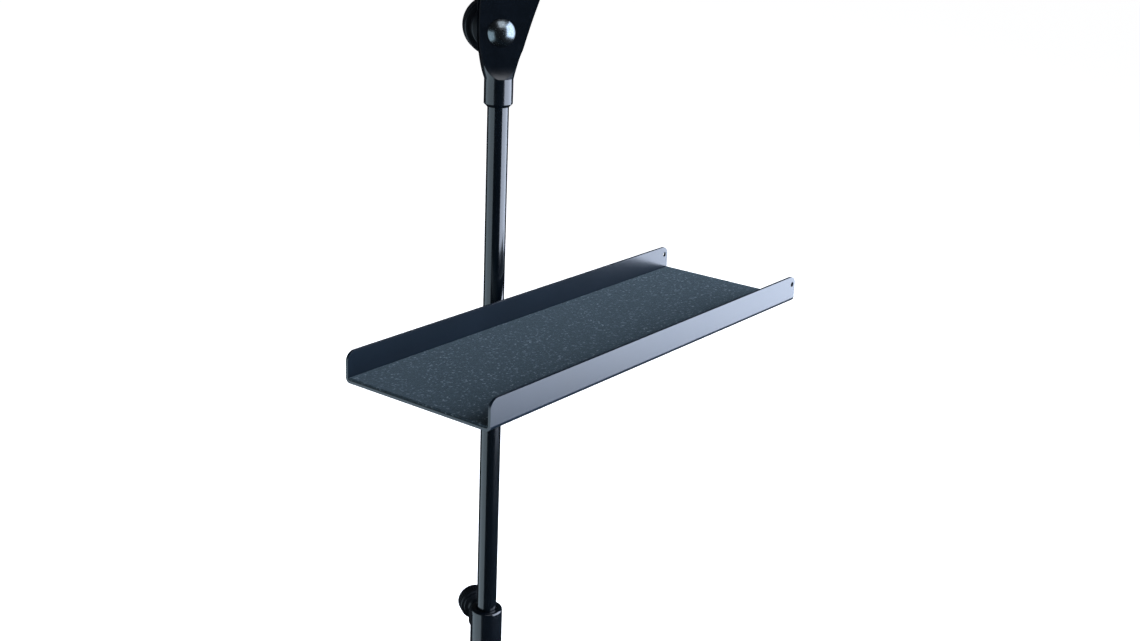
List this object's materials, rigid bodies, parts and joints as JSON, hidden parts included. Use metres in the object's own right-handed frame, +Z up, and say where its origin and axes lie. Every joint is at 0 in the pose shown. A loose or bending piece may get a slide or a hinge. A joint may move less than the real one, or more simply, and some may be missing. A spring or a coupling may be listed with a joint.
{
  "type": "clamp-on stand tray",
  "caption": "Open-ended sheet-steel accessory tray with a thin mat, clamped to a telescopic stand upright with a tilting head; no base or desk.",
  "frame": {"origin": "centre of the lower tube's foot, where the upright bolts to a stand base", "axes": "+Z up along the rod, +X along the tray's length, tray on the -Y side of the rod"},
  "size_m": [0.372, 0.2088, 0.78],
  "materials": {
    "gloss_black": "gloss black stove enamel on steel tube",
    "head_black": "gloss black paint on a zinc casting",
    "clutch_black": "gloss black paint on a cast collar",
    "satin_black": "satin black powder coat",
    "tray_coat": "semi-gloss dark powder coat on sheet steel",
    "mat": "thin dark needle-felt mat with pale flecks",
    "black_plastic": "black moulded nylon",
    "knob_plastic": "black moulded knob plastic, lightly polished rim",
    "nylon": "natural nylon",
    "zinc_steel": "zinc-plated steel",
    "bright_zinc": "bright-plated steel",
    "brass": "turned brass"
  },
  "bodies": {
    "stand": {"lower_tube": "gloss_black", "base_plug": "black_plastic", "base_pin": "zinc_steel", "clutch_housing": "clutch_black", "clutch_bush": "nylon", "clutch_insert": "brass", "collar_rivet": "satin_black"},
    "shoe": {"clutch_shoe": "brass"},
    "clutch_handle": {"clutch_stud": "zinc_steel", "clutch_knob": "knob_plastic", "clutch_cap": "knob_plastic"},
    "guide": {"guide_bush": "nylon"},
    "rod": {"upper_rod": "gloss_black", "rod_end_plug": "black_plastic", "rod_ring": "zinc_steel", "head_socket": "head_black", "socket_pin": "zinc_steel", "tilt_bolt": "bright_zinc"},
    "desk_bracket": {"desk_arm": "satin_black", "washer_front": "black_plastic", "washer_rear": "black_plastic"},
    "back_washer": {"tilt_washer": "zinc_steel"},
    "tilt_handle": {"tilt_knob": "knob_plastic", "tilt_nut": "zinc_steel", "tilt_cap": "knob_plastic"},
    "liner": {"clamp_liner": "nylon"},
    "tray": {"tray_pan": "tray_coat", "tray_mat": "mat", "tray_arm": "satin_black", "clamp_body": "satin_black", "clamp_insert": "brass", "clamp_bolt_1": "zinc_steel", "clamp_bolt_2": "zinc_steel", "arm_screw_1": "zinc_steel", "arm_washer_1": "zinc_steel", "arm_nut_1": "zinc_steel", "arm_screw_2": "zinc_steel", "arm_washer_2": "zinc_steel", "arm_nut_2": "zinc_steel", "arm_screw_3": "zinc_steel", "arm_washer_3": "zinc_steel", "arm_nut_3": "zinc_steel", "arm_screw_4": "zinc_steel", "arm_washer_4": "zinc_steel", "arm_nut_4": "zinc_steel"},
    "pad": {"clamp_pad": "black_plastic"},
    "clamp_handle": {"clamp_screw": "zinc_steel", "clamp_knob": "knob_plastic", "clamp_cap": "knob_plastic"}
  },
  "joints": [
    {"name": "rod_slide", "type": "slide", "parent": "stand", "child": "guide", "axis": [0, 0, 1], "range_m": [-0.11, 0.055]},
    {"name": "rod_turn", "type": "hinge", "parent": "guide", "child": "rod", "pos_m": [0, 0, 0.163], "axis": [0, 0, 1], "range_deg": [-180, 180]},
    {"name": "clutch_shoe_slide", "type": "slide", "parent": "stand", "child": "shoe", "axis": [0.5446, 0.8387, 0], "range_m": [0, 0.002]},
    {"name": "clutch_knob_turn", "type": "hinge", "parent": "shoe", "child": "clutch_handle", "pos_m": [0.01634, 0.02516, 0.2482], "axis": [0.5446, 0.8387, 0], "range_deg": [0, 725]},
    {"name": "head_tilt", "type": "hinge", "parent": "rod", "child": "desk_bracket", "pos_m": [0, 0, 0.7306], "axis": [0.6521, 0.7581, 0], "range_deg": [-30, 90]},
    {"name": "tilt_washer_slide", "type": "slide", "parent": "rod", "child": "back_washer", "axis": [0.6521, 0.7581, 0], "range_m": [0, 0.0025]},
    {"name": "tilt_knob_turn", "type": "hinge", "parent": "back_washer", "child": "tilt_handle", "pos_m": [0.01956, 0.02274, 0.7306], "axis": [0.6521, 0.7581, 0], "range_deg": [0, 725]},
    {"name": "tray_height", "type": "slide", "parent": "rod", "child": "liner", "axis": [0, 0, 1], "range_m": [-0.08, 0.14]},
    {"name": "tray_swing", "type": "hinge", "parent": "liner", "child": "tray", "pos_m": [0, 0, 0.482], "axis": [0, 0, 1], "range_deg": [-180, 180]},
    {"name": "clamp_pad_slide", "type": "slide", "parent": "tray", "child": "pad", "axis": [0, 1, 0], "range_m": [0, 0.00375]},
    {"name": "clamp_knob_turn", "type": "hinge", "parent": "pad", "child": "clamp_handle", "pos_m": [0, 0.033, 0.482], "axis": [0, 1, 0], "range_deg": [0, 1085]}
  ],
  "couplings": [
    {"joint": "clutch_knob_turn", "follows": "clutch_shoe_slide", "rad_per_m": 6283.2},
    {"joint": "tilt_knob_turn", "follows": "tilt_washer_slide", "rad_per_m": 5026.5},
    {"joint": "clamp_knob_turn", "follows": "clamp_pad_slide", "rad_per_m": 5026.5}
  ]
}
